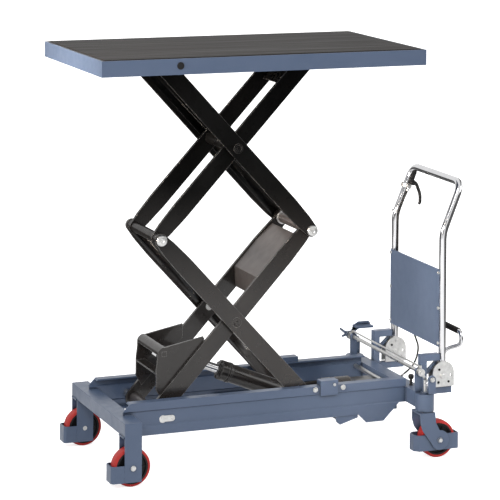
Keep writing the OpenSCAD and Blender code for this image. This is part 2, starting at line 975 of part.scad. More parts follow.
// short rod in the bore of a caster's stem
module brake_plunger(y) {
  color(zinc)
    translate([swivel_x, y, 94.7])
      cylinder(d = plunger_d, h = brake_z - 20.6 - 94.7);
}

module brake_plunger_left() {
  brake_plunger(-caster_y);
}

module brake_plunger_right() {
  brake_plunger(caster_y);
}

base_rails();
front_beam();
rear_beam();
wheel_forks();
foot_guards();
cross_bars();
caster_housings();
handle_brackets();
rail_covers();
frame_bolts();
name_badge();
pivot_shaft();
frame_shaft();
frame_pins();
fixed_axles();
pump_body();
valve_knob();
hydraulic_hose();
lower_inner_arms();
lower_inner_web();
thrust_bracket();
thrust_pin();
lower_outer_arms();
lower_pins();
upper_outer_arms();
upper_pins();
upper_inner_arms();
upper_inner_web();
upper_stubs();
lower_rollers();
upper_rollers();
deck_tray();
deck_mat();
deck_channels();
deck_pivot_shaft();
deck_plugs();
cylinder_barrel();
cylinder_gland();
cylinder_rod();
fixed_wheel_left();
fixed_wheel_right();
caster_fork_left();
caster_fork_right();
caster_wheel_left();
caster_wheel_right();
handle_tube();
handle_hinge_plates();
handle_panel();
panel_screws();
lever_clamp();
release_cable();
release_lever();
pedal_lever();
pedal_sleeve();
pump_plunger();
brake_shaft();
brake_pedal();
brake_plunger_left();
brake_plunger_right();
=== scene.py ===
"""Looks of a mobile double scissor lift table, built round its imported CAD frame.

Metres, +Z up, +X towards the handle. The building blocks below take millimetres.
"""
import json
import math

import bmesh
import bpy
from mathutils import Matrix, Vector

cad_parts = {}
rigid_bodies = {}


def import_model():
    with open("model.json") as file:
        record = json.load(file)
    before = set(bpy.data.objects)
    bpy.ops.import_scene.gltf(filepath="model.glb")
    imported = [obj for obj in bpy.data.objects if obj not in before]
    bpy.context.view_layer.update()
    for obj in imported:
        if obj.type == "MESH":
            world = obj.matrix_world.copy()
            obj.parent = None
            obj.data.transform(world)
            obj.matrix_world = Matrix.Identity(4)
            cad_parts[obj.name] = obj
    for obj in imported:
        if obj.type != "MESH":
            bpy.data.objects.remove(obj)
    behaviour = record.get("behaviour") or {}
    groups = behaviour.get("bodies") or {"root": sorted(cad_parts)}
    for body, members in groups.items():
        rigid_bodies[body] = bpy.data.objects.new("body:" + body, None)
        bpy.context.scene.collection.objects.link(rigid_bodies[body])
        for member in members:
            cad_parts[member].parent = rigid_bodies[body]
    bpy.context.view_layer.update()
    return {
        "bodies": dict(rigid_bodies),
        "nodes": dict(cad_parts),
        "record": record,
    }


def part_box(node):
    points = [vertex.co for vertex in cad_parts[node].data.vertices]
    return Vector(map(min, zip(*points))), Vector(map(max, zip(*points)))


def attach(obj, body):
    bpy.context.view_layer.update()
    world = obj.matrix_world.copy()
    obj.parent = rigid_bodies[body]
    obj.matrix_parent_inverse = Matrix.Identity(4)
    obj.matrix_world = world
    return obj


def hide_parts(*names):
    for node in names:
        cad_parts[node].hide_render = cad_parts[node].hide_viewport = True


MM = 0.001
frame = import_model()
NODES = frame["nodes"]


# ---------- node materials ----------
class Shader:
    """A material's node tree with short calls for the nodes used here."""

    def __init__(self, name):
        self.material = bpy.data.materials.new(name)
        self.material.use_nodes = True
        self.tree = self.material.node_tree
        self.bsdf = self.tree.nodes["Principled BSDF"]
        self.object_space = self.add("ShaderNodeTexCoord").outputs["Object"]

    def add(self, kind, inputs=None, **settings):
        node = self.tree.nodes.new(kind)
        for key, value in settings.items():
            setattr(node, key, value)
        for key, value in (inputs or {}).items():
            self.feed(node.inputs[key], value)
        return node

    def feed(self, socket, value):
        if isinstance(value, bpy.types.NodeSocket):
            self.tree.links.new(value, socket)
        else:
            socket.default_value = value

    def noise(self, scale, detail=4.0, stretch=(1, 1, 1)):
        place = self.add("ShaderNodeMapping", {"Vector": self.object_space, "Scale": stretch})
        cloud = {"Vector": place.outputs[0], "Scale": scale, "Detail": detail}
        return self.add("ShaderNodeTexNoise", cloud).outputs["Fac"]

    def span(self, value, low, high, to_low=0.0, to_high=1.0):
        keys = {"Value": value, "From Min": low, "From Max": high, "To Min": to_low, "To Max": to_high}
        return self.add("ShaderNodeMapRange", keys).outputs[0]

    def maths(self, operation, a, b):
        return self.add("ShaderNodeMath", {0: a, 1: b}, operation=operation).outputs[0]

    def mix(self, factor, a, b):
        return self.add("ShaderNodeMix", {0: factor, 6: a, 7: b}, data_type="RGBA").outputs[2]

    def edges(self, radius, low=0.02, high=0.2):
        """1 on edges sharper than the radius (in metres), 0 on flat ground."""
        soft = self.add("ShaderNodeBevel", {"Radius": radius}, samples=4).outputs[0]
        true = self.add("ShaderNodeNewGeometry").outputs["Normal"]
        dot = self.add("ShaderNodeVectorMath", {0: soft, 1: true}, operation="DOT_PRODUCT").outputs["Value"]
        return self.span(dot, 1 - low, 1 - high)

    def crevices(self, distance):
        """1 in the open, falling to 0 in corners and gaps narrower than the distance (in metres); the mask
        for painted shade.
        """
        reach = self.add("ShaderNodeAmbientOcclusion", {"Distance": distance}, samples=6)
        return self.span(reach.outputs["AO"], 0.42, 0.93)

    def bump(self, height, strength, distance):
        relief = {"Height": height, "Strength": strength, "Distance": distance}
        return self.add("ShaderNodeBump", relief).outputs[0]

    def finish(self, **inputs):
        for key, value in inputs.items():
            self.feed(self.bsdf.inputs[key.replace("_", " ")], value)
        return self.material


def rgb(r, g, b):
    return (r, g, b, 1.0)


def scaled(colour, factor):
    return rgb(*(factor * c for c in colour[:3]))


def paint(name, colour, light, rough, coat):
    """Powder coat: faint clouds, painted shade in corners, lighter edges that are partly wear and partly a
    painted highlight, and a fine orange-peel surface.
    """
    s = Shader(name)
    cloud = s.span(s.noise(5.0, 3.0), 0.35, 0.65)
    # edge mask, partly wear and partly a painted highlight: sharp edges take a lighter colour, broken up by
    # noise
    wear_and_edge_highlight = s.maths("MULTIPLY", s.edges(0.0016), s.span(s.noise(60.0, 6.0), 0.42, 0.62))
    base = s.mix(s.maths("MULTIPLY", cloud, 0.35), colour, light)
    # painted shade: the colour darkens to a fifth of itself in corners and gaps, where shade falls
    shaded = s.mix(s.crevices(0.014), scaled(colour, 0.20), base)
    worn_and_highlit = s.mix(s.maths("MULTIPLY", wear_and_edge_highlight, 0.6), shaded, scaled(light, 1.7))
    roughness = s.span(s.noise(40.0, 5.0), 0.3, 0.7, rough - 0.06, rough + 0.08)
    peel = s.bump(s.noise(420.0, 2.0), 0.10, 0.0006)
    return s.finish(Base_Color=worn_and_highlit, Roughness=roughness, Normal=peel, Coat_Weight=coat, Coat_Roughness=0.2)


def metal(name, colour, dark, rough, scale, bump=0.05):
    """Bare or plated metal with a grain in its colour, gloss and surface."""
    s = Shader(name)
    grain = s.noise(scale, 6.0)
    base = s.mix(s.span(grain, 0.3, 0.7), colour, dark)
    roughness = s.span(s.noise(scale * 0.4, 4.0), 0.3, 0.7, rough * 0.8, rough * 1.3)
    return s.finish(Base_Color=base, Roughness=roughness, Metallic=1.0, Normal=s.bump(grain, bump, 0.0003))


def plastic(name, colour, light, rough, scale, bump, distance=0.0003):
    """Moulded plastic or rubber: smeared gloss and a fine grain."""
    s = Shader(name)
    grain = s.noise(scale, 2.0)
    smear = s.span(s.noise(14.0, 5.0), 0.4, 0.7)
    base = s.mix(s.maths("MULTIPLY", smear, 0.5), colour, light)
    roughness = s.span(smear, 0.0, 1.0, rough, rough + 0.15)
    peel = s.bump(grain, bump, distance)
    return s.finish(Base_Color=base, Roughness=roughness, Specular_IOR_Level=0.3, Normal=peel)


def gloss_black(name):
    """Black enamel: the tall upper arms stay deep black; lower down the base colour turns a warm grey, a
    painted reflection of the pale floor, and the gloss and coat rise.
    """
    s = Shader(name)
    height = s.add("ShaderNodeSeparateXYZ", {0: s.object_space}).outputs["Z"]
    low = s.span(height, 0.42, 0.72, 1.0, 0.0)
    cloud = s.span(s.noise(7.0, 4.0, (1, 1, 0.4)), 0.35, 0.65)
    deep = s.mix(cloud, rgb(0.003, 0.003, 0.003), rgb(0.006, 0.006, 0.006))
    # painted reflection: low on the table the base colour lifts from near black to warm grey, as the pale
    # floor would reflect
    painted_floor_reflection = s.mix(cloud, rgb(0.011, 0.009, 0.008), rgb(0.022, 0.018, 0.016))
    # partly wear, partly a painted highlight: sharp edges turn mid grey, standing in for thin gleams along
    # the edges
    wear_and_edge_highlight = s.maths("MULTIPLY", s.edges(0.0026), s.span(s.noise(30.0, 6.0), 0.30, 0.55))
    base = s.mix(s.maths("MULTIPLY", wear_and_edge_highlight, 0.8), s.mix(low, deep, painted_floor_reflection), rgb(0.30, 0.29, 0.28))
    roughness = s.span(s.noise(35.0, 5.0), 0.3, 0.7, 0.24, 0.36)
    shine = s.span(low, 0.0, 1.0, 0.03, 0.5)
    coat = s.span(low, 0.0, 1.0, 0.0, 0.35)
    peel = s.bump(s.noise(380.0, 2.0), 0.12, 0.0006)
    return s.finish(Base_Color=base, Roughness=roughness, Normal=peel,
                    Specular_IOR_Level=shine, Coat_Weight=coat)


BLUE = paint("blue_grey_paint", rgb(0.070, 0.102, 0.170), rgb(0.102, 0.137, 0.216), 0.36, 0.25)
BLACK = gloss_black("black_paint")
# painted reflection: a lighter copy of the black paint for the lower inner web, standing in for the pale
# floor lighting it
LIT_BLACK_PLATE = paint("black_plate_painted_reflection", rgb(0.050, 0.044, 0.043), rgb(0.085, 0.078, 0.078), 0.40, 0.25)
ZINC = metal("zinc_plate", rgb(0.78, 0.78, 0.77), rgb(0.62, 0.62, 0.61), 0.32, 120.0)
CHROME = metal("chrome", rgb(0.86, 0.86, 0.87), rgb(0.78, 0.78, 0.80), 0.07, 30.0, bump=0.01)
RED = plastic("red_polyurethane", rgb(0.42, 0.025, 0.022), rgb(0.52, 0.05, 0.04), 0.38, 300.0, 0.1)
RUBBER = plastic("black_rubber", rgb(0.016, 0.013, 0.011), rgb(0.030, 0.026, 0.022), 0.62, 900.0, 0.4, 0.0005)
PLASTIC = plastic("black_plastic", rgb(0.006, 0.006, 0.007), rgb(0.013, 0.013, 0.014), 0.45, 800.0, 0.15)


def matting(name):
    """Rubber sheet with faint lengthwise streaks and a fine pebble grain."""
    s = Shader(name)
    streak = s.span(s.noise(6.0, 5.0, (0.5, 14.0, 1.0)), 0.35, 0.68)
    cloud = s.span(s.noise(3.0, 3.0), 0.35, 0.65)
    tone = s.maths("ADD", s.maths("MULTIPLY", streak, 0.6), s.maths("MULTIPLY", cloud, 0.4))
    base = s.mix(tone, rgb(0.008, 0.007, 0.006), rgb(0.023, 0.019, 0.018))
    roughness = s.span(streak, 0.0, 1.0, 0.50, 0.66)
    grain = s.bump(s.noise(900.0, 2.0), 0.4, 0.0004)
    return s.finish(Base_Color=base, Roughness=roughness, Specular_IOR_Level=0.22, Normal=grain)


MAT = matting("deck_matting")

NODE_LOOKS = {"lower_inner_web": LIT_BLACK_PLATE}
SLOT_LOOKS = {
    "grey_blue_paint": BLUE,
    "black_paint": BLACK,
    "zinc_plate": ZINC,
    "chrome": CHROME,
    "red_polyurethane": RED,
    "black_rubber": RUBBER,
    "black_plastic": PLASTIC,
}


# ---------- soft edges and even shading ----------
def shading_group():
    """Smooth faces with sharp edges above 35 degrees, worked out afresh from the shape."""
    group = bpy.data.node_groups.new("even_shading", "GeometryNodeTree")
    group.interface.new_socket("Geometry", in_out="INPUT", socket_type="NodeSocketGeometry")
    group.interface.new_socket("Geometry", in_out="OUTPUT", socket_type="NodeSocketGeometry")
    source = group.nodes.new("NodeGroupInput")
    target = group.nodes.new("NodeGroupOutput")
    plain = group.nodes.new("GeometryNodeRemoveAttribute")
    plain.inputs["Name"].default_value = "custom_normal"
    smooth = group.nodes.new("GeometryNodeSetShadeSmooth")
    sharp = group.nodes.new("GeometryNodeSetShadeSmooth")
    sharp.domain = "EDGE"
    sharp.inputs["Shade Smooth"].default_value = False
    angle = group.nodes.new("GeometryNodeInputMeshEdgeAngle")
    steep = group.nodes.new("FunctionNodeCompare")
    steep.data_type = "FLOAT"
    steep.operation = "GREATER_THAN"
    steep.inputs[1].default_value = math.radians(35)
    group.links.new(source.outputs[0], plain.inputs[0])
    group.links.new(plain.outputs[0], smooth.inputs[0])
    group.links.new(smooth.outputs[0], sharp.inputs[0])
    group.links.new(angle.outputs[0], steep.inputs[0])
    group.links.new(steep.outputs[0], sharp.inputs["Selection"])
    group.links.new(sharp.outputs[0], target.inputs[0])
    return group


EVEN_SHADING = shading_group()


def soften(obj, width):
    """Modifiers that merge doubled points and round the edges; the width is in millimetres."""
    weld = obj.modifiers.new("weld", "WELD")
    weld.merge_threshold = 0.01 * MM
    flat = obj.modifiers.new("flat_faces", "DECIMATE")
    flat.decimate_type = "DISSOLVE"
    flat.angle_limit = math.radians(0.4)
    obj.modifiers.new("even_shading", "NODES").node_group = EVEN_SHADING
    soft = obj.modifiers.new("soft_edges", "BEVEL")
    soft.width = width * MM
    soft.segments = 2
    soft.limit_method = "ANGLE"
    soft.angle_limit = math.radians(40)
    soft.harden_normals = True


# ---------- carried-over CAD nodes ----------
def dress(node, width=0.8):
    """Soft edges and the slot's material on a CAD node; its mesh stays as it is."""
    part = NODES[node]
    slot = next(s["material_slot"] for s in frame["record"]["subparts"] if s["node"] == node)
    part.data.materials.clear()
    part.data.materials.append(NODE_LOOKS.get(node, SLOT_LOOKS[slot]))
    soften(part, width)


for node in NODES:
    dress(node)


# ---------- building blocks, all in millimetres ----------
LOOK_SLOTS = {look: slot for slot, look in SLOT_LOOKS.items()}
LOOK_SLOTS[MAT] = "black_rubber"


def home(node):
    """Name of the body a CAD node rides on."""
    return next(name for name, empty in frame["bodies"].items() if empty is NODES[node].parent)


def settle(obj, look, body, nodes):
    """Gives a finished piece its material and body, and hides the CAD nodes it stands for."""
    obj.data.materials.append(look)
    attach(obj, body)
    if nodes:
        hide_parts(*nodes)
    return obj


class Shape:
    """A mesh put together from turned and cut forms, drawn in a local frame of millimetres."""

    def __init__(self, local=Matrix.Identity(4)):
        self.mesh = bmesh.new()
        self.local = local

    def point(self, place):
        return self.mesh.verts.new((self.local @ Vector(place)) * MM)

    def join(self, low, high):
        """Faces between two rings of points; a ring of one point closes to a tip."""
        count = max(len(low), len(high))
        for i in range(count):
            j = (i + 1) % count
            corners = [low[i % len(low)], low[j % len(low)], high[j % len(high)], high[i % len(high)]]
            self.mesh.faces.new(list(dict.fromkeys(corners)))

    def lathe(self, centre, along, profile, sides=64):
        """Turns (step along, radius) points round an axis; it has a bore if both end radii are above 0."""
        along = Vector(along).normalized()
        side = along.orthogonal().normalized()
        up = along.cross(side)
        rings = []
        for step, radius in profile:
            middle = Vector(centre) + along * step
            turns = [2 * math.pi * i / sides for i in range(sides if radius else 1)]
            spokes = [(side * math.cos(turn) + up * math.sin(turn)) * radius for turn in turns]
            rings.append([self.point(middle + spoke) for spoke in spokes])
        if profile[0][1] and profile[-1][1]:
            rings.append(rings[0])
        for low, high in zip(rings, rings[1:]):
            self.join(low, high)
        return self

    def prism(self, outline, y0, y1):
        """A flat plate: an outline of (x, z) points between two y values."""
        near = [self.point((x, y0, z)) for x, z in outline]
        far = [self.point((x, y1, z)) for x, z in outline]
        self.join(near, far)
        self.mesh.faces.new(near)
        self.mesh.faces.new(far)
        return self

    def hex_head(self, centre, along, across, height, washer=0.0):
        """Chamfered hexagon head, on a washer when a washer diameter is given."""
        radius = across / math.sqrt(3)
        base = 1.5 if washer else 0.0
        if washer:
            self.lathe(centre, along, [(0, 0), (0, washer / 2), (1.5, washer / 2), (1.5, 0)], 32)
        chamfer = radius * 0.12
        top = base + height
        rim = [(base, 0), (base, radius), (top - chamfer, radius), (top, radius - 2 * chamfer), (top, 0)]
        return self.lathe(centre, along, rim, 6)

    def piece(self, name, look, body, *nodes, soft=0.4):
        bmesh.ops.recalc_face_normals(self.mesh, faces=self.mesh.faces)
        data = bpy.data.meshes.new(name)
        self.mesh.to_mesh(data)
        self.mesh.free()
        obj = bpy.data.objects.new(name, data)
        bpy.context.collection.objects.link(obj)
        soften(obj, soft)
        return settle(obj, look, body, nodes)


def rounded(points, radii, steps=10):
    """The path with each corner turned into a smooth bend of its own radius."""
    points = [Vector(p) for p in points]
    path = [points[0]]
    for before, corner, after, radius in zip(points, points[1:], points[2:], radii):
        back, ahead = before - corner, after - corner
        reach = min(radius / math.tan(back.angle(ahead) / 2), 0.49 * back.length, 0.49 * ahead.length)
        start, end = corner + back.normalized() * reach, corner + ahead.normalized() * reach
        for i in range(steps + 1):
            t = i / steps
            path.append(start * (1 - t) ** 2 + corner * 2 * t * (1 - t) + end * t ** 2)
    return path + [points[-1]]


def tube(name, path, diameter, look, body, *nodes, local=Matrix.Identity(4), swell=lambda i: 1.0):
    """A round bar or hose along a path, with flat ends."""
    data = bpy.data.curves.new(name, "CURVE")
    data.dimensions = "3D"
    data.bevel_depth = diameter / 2 * MM
    data.bevel_resolution = 7
    data.use_fill_caps = True
    spline = data.splines.new("POLY")
    spline.points.add(len(path) - 1)
    for i, place in enumerate(path):
        spline.points[i].co = (*((local @ Vector(place)) * MM), 1)
        spline.points[i].radius = swell(i)
    obj = bpy.data.objects.new(name, data)
    bpy.context.collection.objects.link(obj)
    return settle(obj, look, body, nodes)


def bead(name, points, look, body, width):
    """A weld seam: a lumpy run of metal along a joint."""
    path = []
    for a, b in zip(points, points[1:]):
        a, b = Vector(a), Vector(b)
        count = max(2, round((b - a).length / 2.5))
        path += [a.lerp(b, i / count) for i in range(count)]
    path.append(Vector(points[-1]))
    tube(name, path, width, look, body, swell=lambda i: 1.0 + 0.13 * math.sin(i * 2.2))


# ---------- sizes shared with the CAD, in millimetres ----------
WHEEL_R = 50.0
PIVOT_X, FAR_X, MID_X = -356.0, 71.5, -142.25
Z_CROSS_LOW, Z_MID, Z_CROSS_HIGH = 376.0, 606.0, 836.1
OUTER_Y, INNER_Y = 122.0, 92.0
BRACKET_Y = 84.0
RAIL_Y = 148.0
CASTER_X, CASTER_Y = 391.5, 229.0
TUBE_D = 20.0
TUBE_X, TUBE_Y, TUBE_Z0, BEND_Z, TOP_X, TOP_Z = 447.0, 152.0, 207.0, 582.0, 502.0, 716.0
LEAN = math.atan2(TOP_X - TUBE_X, TOP_Z - BEND_Z)
LEANING = Matrix.Translation((TUBE_X, 0, BEND_Z)) @ Matrix.Rotation(LEAN, 4, "Y")


# ---------- wheels ----------
def wheel(node):
    """Red tread with rounded shoulders on a black webbed hub with zinc dust covers."""
    low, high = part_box(node)
    x, y = (low.x + high.x) / 2 / MM, (low.y + high.y) / 2 / MM
    body = home(node)
    centre = (x, y, WHEEL_R)
    across = (0, 1, 0)
    tread = [(-16, 42.5), (-16, 46), (-15, 48.2), (-12.5, 49.5), (-8, 49.9), (0, WHEEL_R), (8, 49.9),
             (12.5, 49.5), (15, 48.2), (16, 46), (16, 42.5)]
    Shape().lathe(centre, across, tread, 96).piece(node + "_tread", RED, body, node, soft=0.5)
    face = [(16.5, 6.1), (16.5, 11), (15.5, 16.5), (12, 18), (8.5, 22), (10, 36), (15.8, 37.5), (15.8, 41),
            (15.4, 42.5)]
    hub = [(-step, radius) for step, radius in reversed(face)] + face
    Shape().lathe(centre, across, hub, 96).piece(node + "_hub", PLASTIC, body, soft=0.4)
    ribs = Shape()
    for i in range(6):
        turn = Matrix.Translation(centre) @ Matrix.Rotation(math.radians(60 * i), 4, "Y")
        ribs.local = turn
        for side in (-1, 1):
            ribs.prism([(16, -2), (37, -1.5), (37, 1.5), (16, 2)], side * 8, side * 13.5)
    ribs.piece(node + "_ribs", PLASTIC, body, soft=0.5)
    covers = Shape()
    for side in (-1, 1):
        ring = [(16.4, 6.2), (16.4, 11.5), (17.4, 11.5), (18.6, 9.5), (19.0, 8.0), (19.0, 6.2)]
        covers.lathe(centre, (0, side, 0), ring, 48)
    covers.piece(node + "_dust_covers", ZINC, body, soft=0.3)


for wheel_node in ("fixed_wheel_left", "fixed_wheel_right", "caster_wheel_left", "caster_wheel_right"):
    wheel(wheel_node)


# ---------- scissor pins ----------
def joint_caps():
    """Dimpled zinc caps on the middle joints and black pin heads at the crossings."""
    dimpled = [(0, 0), (0, 14.5), (5.5, 14.5), (7.6, 13), (8.4, 10), (8.4, 5.5), (6.8, 3.6), (6.8, 0)]
    for node, x in (("lower_pins", PIVOT_X), ("upper_pins", FAR_X)):
        caps = Shape()
        for side in (-1, 1):
            caps.lathe((x, side * OUTER_Y, Z_MID), (0, side, 0), dimpled, 48)
        caps.piece(node + "_caps", ZINC, home(node), soft=0.3)
    # the lower heads stay nearly flush, because they pass between the rails when the table is lowered
    for node, z, rim in (("lower_pins", Z_CROSS_LOW, 0.7), ("upper_pins", Z_CROSS_HIGH, 2.4)):
        heads = Shape()
        for side in (-1, 1):
            heads.lathe((MID_X, side * OUTER_Y, z), (0, side, 0),
                        [(-0.5, 0), (-0.5, 13.5), (rim * 0.6, 13.5), (rim, 12.6), (rim, 9), (rim * 0.4, 8),
                         (rim * 0.4, 4.5), (rim * 0.8, 3.5), (rim * 0.8, 0)], 48)
        heads.piece(node + "_cross_heads", BLACK, home(node), soft=0.3)
    bosses = Shape()
    for side in (-1, 1):
        bosses.lathe((FAR_X, side * (INNER_Y - 8), Z_MID), (0, -side, 0),
                     [(0, 14.1), (0, 18), (3.4, 18), (4, 17.4), (4, 14.1)], 48)
    bosses.piece("mid_joint_bosses", ZINC, home("lower_inner_web"), soft=0.3)


joint_caps()


# ---------- frame hardware ----------
def frame_hardware():
    """Hexagon bolts on the rails, lugs and fixed wheel forks, and the blank oval badge."""
    cover_bolts_x, cover_bolts_z = (74, 155), 186
    cover_screw_x, cover_screw_z = 128, 196
    lug_x, lug_z, lug_out_y, lug_in_y = 371, 211, 249, 243
    axle_x, fork_y = -464, 226
    bolts = Shape()
    for side in (-1, 1):
        out, inwards = (0, side, 0), (0, -side, 0)
        for x in cover_bolts_x:
            bolts.hex_head((x, side * RAIL_Y, cover_bolts_z), out, 10, 4.5, 14)
        bolts.hex_head((cover_screw_x, side * (RAIL_Y + 4), cover_screw_z), out, 6, 2.5, 8)
        bolts.hex_head((lug_x, side * lug_out_y, lug_z), out, 10, 4.5, 13)
        bolts.hex_head((lug_x, side * lug_in_y, lug_z), inwards, 10, 4.5, 13)
        bolts.lathe((lug_x, side * (lug_in_y - 1), lug_z), out, [(0, 0), (0, 3.8), (8, 3.8), (8, 0)], 24)
        bolts.hex_head((axle_x, side * fork_y, WHEEL_R), out, 10, 4, 14)
    bolts.piece("frame_hex_bolts", ZINC, "base", "frame_bolts", soft=0.3)
    badge = Shape()
    rear_x, front_x, badge_z, badge_r = -331, -352, 147, 8
    face_y = -RAIL_Y + 1.6
    outline = []
    for centre, first in ((rear_x, -90), (front_x, 90)):
        turns = [math.radians(first + 15 * i) for i in range(13)]
        outline += [(centre + badge_r * math.cos(a), badge_z + badge_r * math.sin(a)) for a in turns]
    badge.prism(outline, -RAIL_Y + 3, face_y)
    rivet = [(0, 0), (0, 2.6), (0.8, 2.2), (1.2, 1.2), (1.3, 0)]
    for x in (front_x, rear_x):
        badge.lathe((x, face_y, badge_z), (0, -1, 0), rivet, 24)
    badge.piece("blank_badge", ZINC, "base", "name_badge", soft=0.2)


def axle_nuts():
    """Hexagon nuts on the caster axles."""
    for side in (-1, 1):
        node = "caster_fork_left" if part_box("caster_fork_left")[0].y * side > 0 else "caster_fork_right"
        nuts = Shape()
        for face in (-1, 1):
            nuts.hex_head((CASTER_X, side * CASTER_Y + face * 28, WHEEL_R), (0, face, 0), 10, 4, 14)
        nuts.piece(node + "_axle_nuts", ZINC, home(node), soft=0.3)


def weld_seams():
    """Seams at the forks, caster housings, rail ends and noses, and the thrust bracket."""
    for side, name in ((-1, "near"), (1, "far")):
        fork = [(-487.5, side * 182, 128), (-487.5, side * 222, 128)]
        housing = [(340, side * 212, 131), (340, side * 212, 172)]
        rail_end = [(341, side * 149, 134), (341, side * 149, 172)]
        nose = [(-441, side * 149, 131), (-441, side * 149, 165), (-462, side * 149, 165)]
        bracket = [(-222, side * BRACKET_Y, 303), (-222, side * BRACKET_Y, 334)]
        bead(f"weld_fork_front_{name}", fork, BLUE, "base", 5)
        bead(f"weld_housing_{name}", housing, BLUE, "base", 4)
        bead(f"weld_rail_end_{name}", rail_end, BLUE, "base", 4)
        bead(f"weld_rail_nose_{name}", nose, BLUE, "base", 4)
        bead(f"weld_bracket_{name}", bracket, BLACK, "lower_inner", 4)


frame_hardware()
axle_nuts()
weld_seams()


# ---------- handle ----------
def handle():
    """Chrome bow with its panel screws, and the clamp and perch that hold the release lever."""
    near = [(TUBE_X, -TUBE_Y, TUBE_Z0), (TUBE_X, -TUBE_Y, BEND_Z), (TOP_X, -TUBE_Y, TOP_Z)]
    far = [(x, -y, z) for x, y, z in reversed(near)]
    bow = rounded(near + far, (110, 36, 36, 110), 14)
    tube("handle_bow", bow, TUBE_D, CHROME, "handle", "handle_tube")
    screws = Shape()
    for z in (283, 378, 474):
        for side in (-1, 1):
            screws.lathe((434, side * TUBE_Y, z), (-1, 0, 0),
                         [(-4, 0), (-4, 2.4), (0, 2.4), (0, 4.8), (1.4, 4.4), (2.5, 3.0), (2.9, 0)], 32)
    screws.piece("panel_dome_screws", ZINC, "handle", "panel_screws", soft=0.2)
    ring = Shape(LEANING)
    band = [(0, 10.1), (0, 14), (1, 15), (11, 15), (12, 14), (12, 10.1)]
    ring.lathe((0, TUBE_Y, 80), (0, 0, 1), band, 48)
    ring.prism([(-5, 82), (5, 82), (5, 90), (-5, 90)], TUBE_Y - 26, TUBE_Y - 13)
    ring.hex_head((5, TUBE_Y - 19, 86), (1, 0, 0), 6, 2.5)
    ring.piece("lever_clamp_ring", ZINC, "handle", "lever_clamp", soft=0.4)
    perch = Shape(LEANING)
    block = [(-6, 92), (6, 92), (6, 128), (4, 136), (-3, 136), (-6, 128)]
    perch.prism(block, TUBE_Y - 26, TUBE_Y - 15)
    perch.lathe((0, TUBE_Y - 38, 100), (0, 1, 0), [(0, 0), (0, 3.9), (18, 3.9), (18, 0)], 32)
    perch.piece("lever_perch", PLASTIC, "handle", soft=2.0)


def release_lever():
    """Finger lever on a round boss, swept away from the tube and back."""
    y = TUBE_Y - 32
    boss = Shape(LEANING)
    rim = [(0, 4.1), (0, 7.4), (0.8, 8), (9.2, 8), (10, 7.4), (10, 4.1)]
    boss.lathe((0, y - 5, 100), (0, 1, 0), rim, 40)
    boss.piece("release_lever_boss", PLASTIC, "lever", "release_lever", soft=0.4)
    finger = rounded([(7, y, 102), (15, y, 98), (36, y, 76), (44, y, 55), (42, y, 50)], (10, 60, 10))
    tube("release_lever_finger", finger, 9, PLASTIC, "lever", local=LEANING,
         swell=lambda i: 1.15 - 0.30 * i / len(finger))


def cable():
    """Release cable from the lever to the rear beam, with a ferrule at each end and a band on the tube."""
    y = TUBE_Y - 13.1
    path = [(477, y - 8, 656), (449, y, 590), (447, y, 440), (455, 41, 267), (455, 10, 236),
            (450, 12, 204), (425, -10, 186), (374, -52, 176)]
    sheath = rounded(path, (60, 300, 60, 30, 30, 30), 12)
    tube("release_cable_sheath", sheath, 5, PLASTIC, "handle", "release_cable")
    top, foot = Vector(path[0]), Vector(path[-1])
    above, beside = top - Vector(path[1]), Vector(path[-2]) - foot
    ferrules = Shape()
    ferrules.lathe(top, above, [(-8, 0), (-8, 3.6), (2, 3.6), (4, 2.0), (4, 0)], 24)
    ferrules.lathe(foot, beside, [(0, 0), (0, 3.4), (10, 3.4), (12, 2.6), (12, 0)], 24)
    ferrules.lathe((448.5, TUBE_Y, 589), (0.2, 0, 1), [(0, 10.2), (0, 11.4), (5, 11.4), (5, 10.2)], 40)
    ferrules.piece("cable_ferrules", ZINC, "handle", soft=0.3)


handle()
release_lever()
cable()


# ---------- pedal and hydraulics ----------
def pedal():
    """Bent pump lever with its boss and plunger link, and the ribbed rubber grip."""
    lever_x, lever_z, link_x, link_z, grip_x, grip_z = 285, 104, 262, 94, 551, 284
    path = [(lever_x, 0, lever_z), (400, 0, 102), (470, 0, 118), (506, 0, 180), (524, -16, 230),
            (grip_x, -64, 250), (grip_x, -60, grip_z), (grip_x, 46, grip_z)]
    tube("pedal_rod", rounded(path, (90, 60, 90, 60, 40, 16), 12), 12, CHROME, "pedal", "pedal_lever")
    boss = Shape()
    sleeve = [(0, 6.1), (0, 10.2), (0.8, 11), (49.2, 11), (50, 10.2), (50, 6.1)]
    boss.lathe((lever_x, -25, lever_z), (0, 1, 0), sleeve, 48)
    start = Vector((lever_x, 0, lever_z - 6))
    reach = Vector((link_x, 0, link_z)) - start
    boss.lathe(start, reach, [(0, 0), (0, 4), (reach.length, 4), (reach.length, 0)], 32)
    roller = [(0, 0), (0, 4.4), (0.6, 5), (11.4, 5), (12, 4.4), (12, 0)]
    boss.lathe((link_x, -6, link_z), (0, 1, 0), roller, 32)
    boss.piece("pedal_boss", ZINC, "pedal", soft=0.3)
    ribs = [(0, 6.1), (0, 7.6), (1.5, 8.5)]
    for i in range(13):
        ribs += [(5 + 6 * i, 8.5), (5.7 + 6 * i, 7.7), (8.3 + 6 * i, 7.7), (9 + 6 * i, 8.5)]
    ribs += [(88.5, 8.5), (90, 7.6), (90, 6.1)]
    grip = Shape().lathe((grip_x, -44, grip_z), (0, 1, 0), ribs, 48)
    grip.piece("pedal_grip", RUBBER, "pedal", "pedal_sleeve", soft=0.3)


